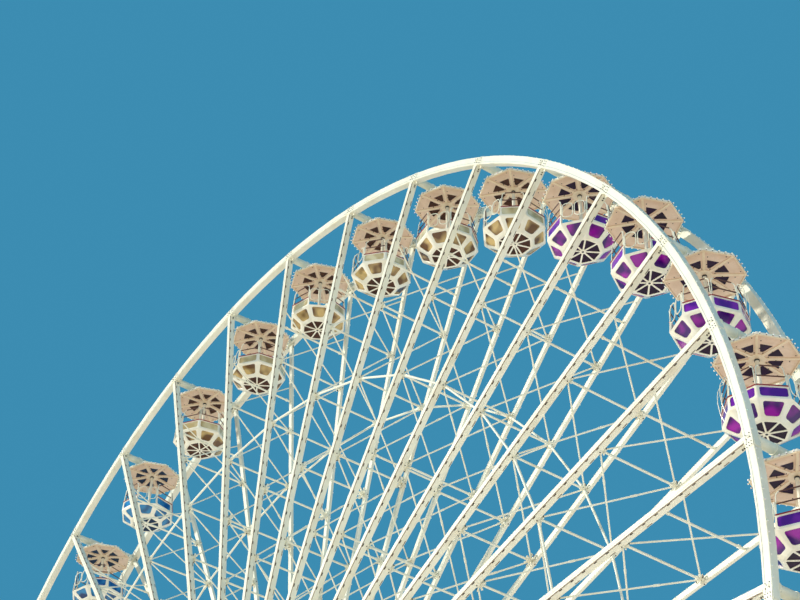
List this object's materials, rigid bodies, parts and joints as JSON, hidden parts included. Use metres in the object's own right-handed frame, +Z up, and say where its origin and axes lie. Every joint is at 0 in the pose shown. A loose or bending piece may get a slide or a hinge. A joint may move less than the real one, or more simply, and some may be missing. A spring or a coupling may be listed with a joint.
{
  "type": "ferris wheel, 1:2 scale model",
  "caption": "Transportable ferris wheel with two spoked rims, level round gondolas between them, raked legs and a boarding platform.",
  "frame": {"origin": "on the ground, at the middle of the part's footprint, straight under the hub", "axes": "+Z up, +Y along the hub's axle from the front to the rear, +X to the right seen from the front"},
  "size_m": [26.125, 8.2806, 27.2219],
  "materials": {
    "frame_paint": "cream white gloss paint on steel",
    "gondola_shell": "cream white glass-fibre shell",
    "hub_paint": "light grey gloss paint on steel",
    "deck_plate": "worn chequered plate"
  },
  "bodies": {
    "support": {"front_left_leg": "frame_paint", "front_right_leg": "frame_paint", "rear_left_leg": "frame_paint", "rear_right_leg": "frame_paint", "front_bearing": "hub_paint", "rear_bearing": "hub_paint", "front_base_beam": "frame_paint", "rear_base_beam": "frame_paint", "left_cross_beam": "frame_paint", "right_cross_beam": "frame_paint", "boarding_platform": "deck_plate", "front_steps": "deck_plate", "rear_steps": "deck_plate"},
    "wheel": {"hub": "hub_paint", "front_rim_upper": "frame_paint", "front_rim_lower": "frame_paint", "rear_rim_upper": "frame_paint", "rear_rim_lower": "frame_paint", "front_spokes_1": "frame_paint", "front_spokes_2": "frame_paint", "front_spokes_3": "frame_paint", "rear_spokes_1": "frame_paint", "rear_spokes_2": "frame_paint", "rear_spokes_3": "frame_paint"},
    "gondola_01_body": {"gondola_01": "gondola_shell"},
    "gondola_02_body": {"gondola_02": "gondola_shell"},
    "gondola_03_body": {"gondola_03": "gondola_shell"},
    "gondola_04_body": {"gondola_04": "gondola_shell"},
    "gondola_05_body": {"gondola_05": "gondola_shell"},
    "gondola_06_body": {"gondola_06": "gondola_shell"},
    "gondola_07_body": {"gondola_07": "gondola_shell"},
    "gondola_08_body": {"gondola_08": "gondola_shell"},
    "gondola_09_body": {"gondola_09": "gondola_shell"},
    "gondola_10_body": {"gondola_10": "gondola_shell"},
    "gondola_11_body": {"gondola_11": "gondola_shell"},
    "gondola_12_body": {"gondola_12": "gondola_shell"},
    "gondola_13_body": {"gondola_13": "gondola_shell"},
    "gondola_14_body": {"gondola_14": "gondola_shell"},
    "gondola_15_body": {"gondola_15": "gondola_shell"},
    "gondola_16_body": {"gondola_16": "gondola_shell"},
    "gondola_17_body": {"gondola_17": "gondola_shell"},
    "gondola_18_body": {"gondola_18": "gondola_shell"},
    "gondola_19_body": {"gondola_19": "gondola_shell"},
    "gondola_20_body": {"gondola_20": "gondola_shell"},
    "gondola_21_body": {"gondola_21": "gondola_shell"},
    "gondola_22_body": {"gondola_22": "gondola_shell"},
    "gondola_23_body": {"gondola_23": "gondola_shell"},
    "gondola_24_body": {"gondola_24": "gondola_shell"},
    "gondola_25_body": {"gondola_25": "gondola_shell"},
    "gondola_26_body": {"gondola_26": "gondola_shell"},
    "gondola_27_body": {"gondola_27": "gondola_shell"},
    "gondola_28_body": {"gondola_28": "gondola_shell"},
    "gondola_29_body": {"gondola_29": "gondola_shell"},
    "gondola_30_body": {"gondola_30": "gondola_shell"},
    "gondola_31_body": {"gondola_31": "gondola_shell"},
    "gondola_32_body": {"gondola_32": "gondola_shell"},
    "gondola_33_body": {"gondola_33": "gondola_shell"},
    "gondola_34_body": {"gondola_34": "gondola_shell"},
    "gondola_35_body": {"gondola_35": "gondola_shell"},
    "gondola_36_body": {"gondola_36": "gondola_shell"}
  },
  "joints": [
    {"name": "wheel_spin", "type": "hinge", "parent": "support", "child": "wheel", "pos_m": [0, 0, 14.65], "axis": [0, 1, 0], "continuous": true},
    {"name": "gondola_01_level", "type": "hinge", "parent": "wheel", "child": "gondola_01_body", "pos_m": [-7.26944, 0, 24.81884], "axis": [0, 1, 0], "continuous": true},
    {"name": "gondola_02_level", "type": "hinge", "parent": "wheel", "child": "gondola_02_body", "pos_m": [-5.3932, 0, 25.92667], "axis": [0, 1, 0], "continuous": true},
    {"name": "gondola_03_level", "type": "hinge", "parent": "wheel", "child": "gondola_03_body", "pos_m": [-3.35309, 0, 26.69188], "axis": [0, 1, 0], "continuous": true},
    {"name": "gondola_04_level", "type": "hinge", "parent": "wheel", "child": "gondola_04_body", "pos_m": [-1.2111, 0, 27.09119], "axis": [0, 1, 0], "continuous": true},
    {"name": "gondola_05_level", "type": "hinge", "parent": "wheel", "child": "gondola_05_body", "pos_m": [0.96769, 0, 27.11249], "axis": [0, 1, 0], "continuous": true},
    {"name": "gondola_06_level", "type": "hinge", "parent": "wheel", "child": "gondola_06_body", "pos_m": [3.11707, 0, 26.75512], "axis": [0, 1, 0], "continuous": true},
    {"name": "gondola_07_level", "type": "hinge", "parent": "wheel", "child": "gondola_07_body", "pos_m": [5.17175, 0, 26.02994], "axis": [0, 1, 0], "continuous": true},
    {"name": "gondola_08_level", "type": "hinge", "parent": "wheel", "child": "gondola_08_body", "pos_m": [7.06929, 0, 24.95899], "axis": [0, 1, 0], "continuous": true},
    {"name": "gondola_09_level", "type": "hinge", "parent": "wheel", "child": "gondola_09_body", "pos_m": [8.75202, 0, 23.5748], "axis": [0, 1, 0], "continuous": true},
    {"name": "gondola_10_level", "type": "hinge", "parent": "wheel", "child": "gondola_10_body", "pos_m": [10.16884, 0, 21.91944], "axis": [0, 1, 0], "continuous": true},
    {"name": "gondola_11_level", "type": "hinge", "parent": "wheel", "child": "gondola_11_body", "pos_m": [11.27667, 0, 20.0432], "axis": [0, 1, 0], "continuous": true},
    {"name": "gondola_12_level", "type": "hinge", "parent": "wheel", "child": "gondola_12_body", "pos_m": [12.04188, 0, 18.00309], "axis": [0, 1, 0], "continuous": true},
    {"name": "gondola_13_level", "type": "hinge", "parent": "wheel", "child": "gondola_13_body", "pos_m": [12.44119, 0, 15.8611], "axis": [0, 1, 0], "continuous": true},
    {"name": "gondola_14_level", "type": "hinge", "parent": "wheel", "child": "gondola_14_body", "pos_m": [12.46249, 0, 13.68231], "axis": [0, 1, 0], "continuous": true},
    {"name": "gondola_15_level", "type": "hinge", "parent": "wheel", "child": "gondola_15_body", "pos_m": [12.10512, 0, 11.53293], "axis": [0, 1, 0], "continuous": true},
    {"name": "gondola_16_level", "type": "hinge", "parent": "wheel", "child": "gondola_16_body", "pos_m": [11.37994, 0, 9.47825], "axis": [0, 1, 0], "continuous": true},
    {"name": "gondola_17_level", "type": "hinge", "parent": "wheel", "child": "gondola_17_body", "pos_m": [10.30899, 0, 7.58071], "axis": [0, 1, 0], "continuous": true},
    {"name": "gondola_18_level", "type": "hinge", "parent": "wheel", "child": "gondola_18_body", "pos_m": [8.9248, 0, 5.89797], "axis": [0, 1, 0], "continuous": true},
    {"name": "gondola_19_level", "type": "hinge", "parent": "wheel", "child": "gondola_19_body", "pos_m": [7.26944, 0, 4.48116], "axis": [0, 1, 0], "continuous": true},
    {"name": "gondola_20_level", "type": "hinge", "parent": "wheel", "child": "gondola_20_body", "pos_m": [5.3932, 0, 3.37333], "axis": [0, 1, 0], "continuous": true},
    {"name": "gondola_21_level", "type": "hinge", "parent": "wheel", "child": "gondola_21_body", "pos_m": [3.35309, 0, 2.60812], "axis": [0, 1, 0], "continuous": true},
    {"name": "gondola_22_level", "type": "hinge", "parent": "wheel", "child": "gondola_22_body", "pos_m": [1.2111, 0, 2.20881], "axis": [0, 1, 0], "continuous": true},
    {"name": "gondola_23_level", "type": "hinge", "parent": "wheel", "child": "gondola_23_body", "pos_m": [-0.96769, 0, 2.18751], "axis": [0, 1, 0], "continuous": true},
    {"name": "gondola_24_level", "type": "hinge", "parent": "wheel", "child": "gondola_24_body", "pos_m": [-3.11707, 0, 2.54488], "axis": [0, 1, 0], "continuous": true},
    {"name": "gondola_25_level", "type": "hinge", "parent": "wheel", "child": "gondola_25_body", "pos_m": [-5.17175, 0, 3.27006], "axis": [0, 1, 0], "continuous": true},
    {"name": "gondola_26_level", "type": "hinge", "parent": "wheel", "child": "gondola_26_body", "pos_m": [-7.06929, 0, 4.34101], "axis": [0, 1, 0], "continuous": true},
    {"name": "gondola_27_level", "type": "hinge", "parent": "wheel", "child": "gondola_27_body", "pos_m": [-8.75202, 0, 5.7252], "axis": [0, 1, 0], "continuous": true},
    {"name": "gondola_28_level", "type": "hinge", "parent": "wheel", "child": "gondola_28_body", "pos_m": [-10.16884, 0, 7.38056], "axis": [0, 1, 0], "continuous": true},
    {"name": "gondola_29_level", "type": "hinge", "parent": "wheel", "child": "gondola_29_body", "pos_m": [-11.27667, 0, 9.2568], "axis": [0, 1, 0], "continuous": true},
    {"name": "gondola_30_level", "type": "hinge", "parent": "wheel", "child": "gondola_30_body", "pos_m": [-12.04188, 0, 11.29691], "axis": [0, 1, 0], "continuous": true},
    {"name": "gondola_31_level", "type": "hinge", "parent": "wheel", "child": "gondola_31_body", "pos_m": [-12.44119, 0, 13.4389], "axis": [0, 1, 0], "continuous": true},
    {"name": "gondola_32_level", "type": "hinge", "parent": "wheel", "child": "gondola_32_body", "pos_m": [-12.46249, 0, 15.61769], "axis": [0, 1, 0], "continuous": true},
    {"name": "gondola_33_level", "type": "hinge", "parent": "wheel", "child": "gondola_33_body", "pos_m": [-12.10512, 0, 17.76707], "axis": [0, 1, 0], "continuous": true},
    {"name": "gondola_34_level", "type": "hinge", "parent": "wheel", "child": "gondola_34_body", "pos_m": [-11.37994, 0, 19.82175], "axis": [0, 1, 0], "continuous": true},
    {"name": "gondola_35_level", "type": "hinge", "parent": "wheel", "child": "gondola_35_body", "pos_m": [-10.30899, 0, 21.71929], "axis": [0, 1, 0], "continuous": true},
    {"name": "gondola_36_level", "type": "hinge", "parent": "wheel", "child": "gondola_36_body", "pos_m": [-8.9248, 0, 23.40202], "axis": [0, 1, 0], "continuous": true}
  ],
  "couplings": [
    {"joint": "gondola_01_level", "follows": "wheel_spin", "ratio": -1},
    {"joint": "gondola_02_level", "follows": "wheel_spin", "ratio": -1},
    {"joint": "gondola_03_level", "follows": "wheel_spin", "ratio": -1},
    {"joint": "gondola_04_level", "follows": "wheel_spin", "ratio": -1},
    {"joint": "gondola_05_level", "follows": "wheel_spin", "ratio": -1},
    {"joint": "gondola_06_level", "follows": "wheel_spin", "ratio": -1},
    {"joint": "gondola_07_level", "follows": "wheel_spin", "ratio": -1},
    {"joint": "gondola_08_level", "follows": "wheel_spin", "ratio": -1},
    {"joint": "gondola_09_level", "follows": "wheel_spin", "ratio": -1},
    {"joint": "gondola_10_level", "follows": "wheel_spin", "ratio": -1},
    {"joint": "gondola_11_level", "follows": "wheel_spin", "ratio": -1},
    {"joint": "gondola_12_level", "follows": "wheel_spin", "ratio": -1},
    {"joint": "gondola_13_level", "follows": "wheel_spin", "ratio": -1},
    {"joint": "gondola_14_level", "follows": "wheel_spin", "ratio": -1},
    {"joint": "gondola_15_level", "follows": "wheel_spin", "ratio": -1},
    {"joint": "gondola_16_level", "follows": "wheel_spin", "ratio": -1},
    {"joint": "gondola_17_level", "follows": "wheel_spin", "ratio": -1},
    {"joint": "gondola_18_level", "follows": "wheel_spin", "ratio": -1},
    {"joint": "gondola_19_level", "follows": "wheel_spin", "ratio": -1},
    {"joint": "gondola_20_level", "follows": "wheel_spin", "ratio": -1},
    {"joint": "gondola_21_level", "follows": "wheel_spin", "ratio": -1},
    {"joint": "gondola_22_level", "follows": "wheel_spin", "ratio": -1},
    {"joint": "gondola_23_level", "follows": "wheel_spin", "ratio": -1},
    {"joint": "gondola_24_level", "follows": "wheel_spin", "ratio": -1},
    {"joint": "gondola_25_level", "follows": "wheel_spin", "ratio": -1},
    {"joint": "gondola_26_level", "follows": "wheel_spin", "ratio": -1},
    {"joint": "gondola_27_level", "follows": "wheel_spin", "ratio": -1},
    {"joint": "gondola_28_level", "follows": "wheel_spin", "ratio": -1},
    {"joint": "gondola_29_level", "follows": "wheel_spin", "ratio": -1},
    {"joint": "gondola_30_level", "follows": "wheel_spin", "ratio": -1},
    {"joint": "gondola_31_level", "follows": "wheel_spin", "ratio": -1},
    {"joint": "gondola_32_level", "follows": "wheel_spin", "ratio": -1},
    {"joint": "gondola_33_level", "follows": "wheel_spin", "ratio": -1},
    {"joint": "gondola_34_level", "follows": "wheel_spin", "ratio": -1},
    {"joint": "gondola_35_level", "follows": "wheel_spin", "ratio": -1},
    {"joint": "gondola_36_level", "follows": "wheel_spin", "ratio": -1}
  ]
}
